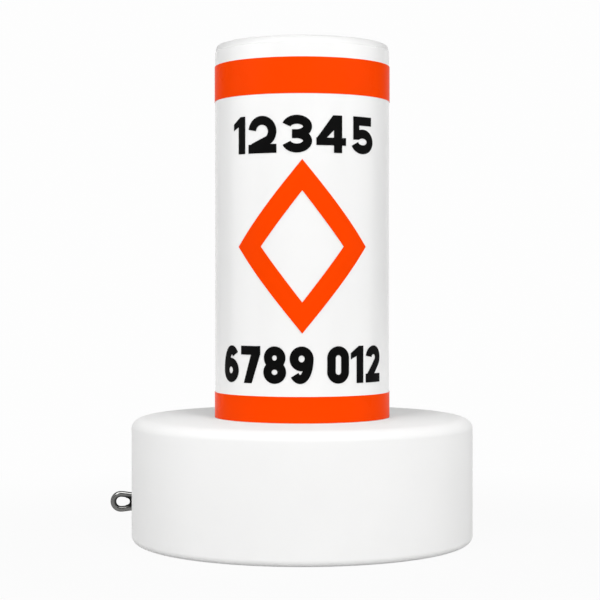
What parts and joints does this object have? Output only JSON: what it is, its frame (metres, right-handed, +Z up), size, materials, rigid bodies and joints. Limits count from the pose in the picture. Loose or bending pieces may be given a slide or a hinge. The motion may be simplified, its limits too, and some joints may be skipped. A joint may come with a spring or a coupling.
{
  "type": "float collar marker buoy",
  "caption": "Upright round marker column standing in a low round float collar, with orange bands, a hollow orange diamond, black numerals and a small bent rod eye on the collar's left side.",
  "frame": {"origin": "on the column's axis, in the flat underside that the buoy stands on", "axes": "+Z up along the column; -Y towards the marked face; -X towards the side eye"},
  "size_m": [0.476, 0.447, 0.6477],
  "materials": {
    "collar_white": "satin moulded polyethylene",
    "column_white": "gloss moulded polyethylene",
    "plug_grey": "moulded polyethylene plug",
    "seal_rubber": "flat rubber washer",
    "stainless": "stainless screws",
    "insert_brass": "turned brass",
    "eye_steel": "bent steel rod",
    "film_orange": "gloss orange film",
    "film_black": "gloss black film"
  },
  "bodies": {
    "root": {"float_collar": "collar_white", "marker_column": "column_white", "column_vent_plug": "plug_grey", "column_vent_seal": "seal_rubber", "collar_vent_plug": "plug_grey", "collar_vent_seal": "seal_rubber", "foot_screw_1": "stainless", "foot_screw_2": "stainless", "foot_screw_3": "stainless", "foot_screw_4": "stainless", "foot_screw_5": "stainless", "foot_screw_6": "stainless", "foot_insert_1": "insert_brass", "foot_insert_2": "insert_brass", "foot_insert_3": "insert_brass", "foot_insert_4": "insert_brass", "foot_insert_5": "insert_brass", "foot_insert_6": "insert_brass", "side_eye": "eye_steel", "upper_band": "film_orange", "lower_band": "film_orange", "diamond_mark": "film_orange", "upper_numeral_1": "film_black", "upper_numeral_2": "film_black", "upper_numeral_3": "film_black", "upper_numeral_4": "film_black", "upper_numeral_5": "film_black", "lower_numeral_1": "film_black", "lower_numeral_2": "film_black", "lower_numeral_3": "film_black", "lower_numeral_4": "film_black", "lower_numeral_5": "film_black", "lower_numeral_6": "film_black", "lower_numeral_7": "film_black"}
  },
  "joints": []
}
